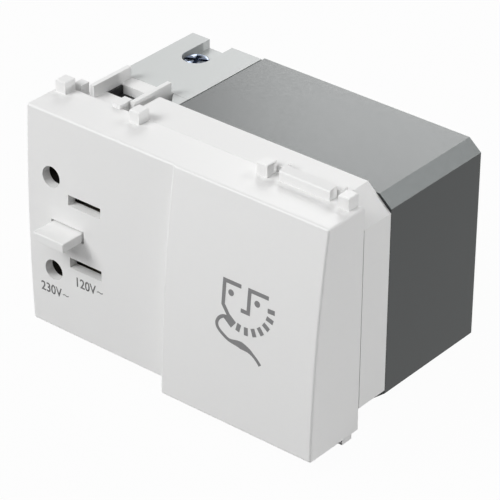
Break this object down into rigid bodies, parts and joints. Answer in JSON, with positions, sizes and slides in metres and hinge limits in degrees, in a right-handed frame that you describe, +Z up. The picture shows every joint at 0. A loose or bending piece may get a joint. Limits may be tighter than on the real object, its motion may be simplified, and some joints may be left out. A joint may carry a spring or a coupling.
{
  "type": "shaver socket",
  "caption": "Flush-mounted shaver socket with a bowed cover, openings for round pins and flat blades, a sprung plunger switch and an isolating transformer behind.",
  "frame": {"origin": "middle of the cover, on the plane of its lugs' rear faces", "axes": "+X to the right along the front, +Y to the rear into the wall box, +Z up"},
  "size_m": [0.067, 0.0477, 0.0488],
  "materials": {
    "cover_white": "smooth moulded, slight sheen",
    "frame_white": "smooth moulded",
    "case_grey": "fine matt moulded",
    "housing_grey": "smooth moulded",
    "insert_dark": "matt",
    "zinc": "zinc plated",
    "spring_steel": "drawn wire",
    "contact_brass": "bright stamped",
    "core_steel": "varnished sheet",
    "former_white": "smooth moulded",
    "copper": "enamelled wire",
    "tape_yellow": "smooth film",
    "protector_dark": "matt"
  },
  "bodies": {
    "housing": {"front_cover": "cover_white", "mid_frame": "frame_white", "transformer_case": "case_grey", "terminal_housing": "housing_grey", "contact_block": "insert_dark", "terminal_screw_upper": "zinc", "terminal_screw_lower": "zinc", "plunger_spring": "spring_steel", "switch_contact_left": "contact_brass", "switch_contact_right": "contact_brass", "pin_contact_upper": "contact_brass", "pin_contact_lower": "contact_brass", "blade_contact_upper": "contact_brass", "blade_contact_lower": "contact_brass", "terminal_upper": "contact_brass", "terminal_lower": "contact_brass", "core_e": "core_steel", "core_i": "core_steel", "bobbin": "former_white", "primary_winding": "copper", "secondary_winding": "copper", "primary_tape": "tape_yellow", "secondary_tape": "tape_yellow", "thermal_cutout": "protector_dark"},
    "plunger": {"plunger": "cover_white", "contact_bridge": "contact_brass"}
  },
  "joints": [
    {"name": "plunger_press", "type": "slide", "parent": "housing", "child": "plunger", "axis": [0, 1, 0], "range_m": [0, 0.0048], "stiffness_N_per_m": 200, "springref_m": -0.003, "deforming": ["plunger_spring"]}
  ]
}
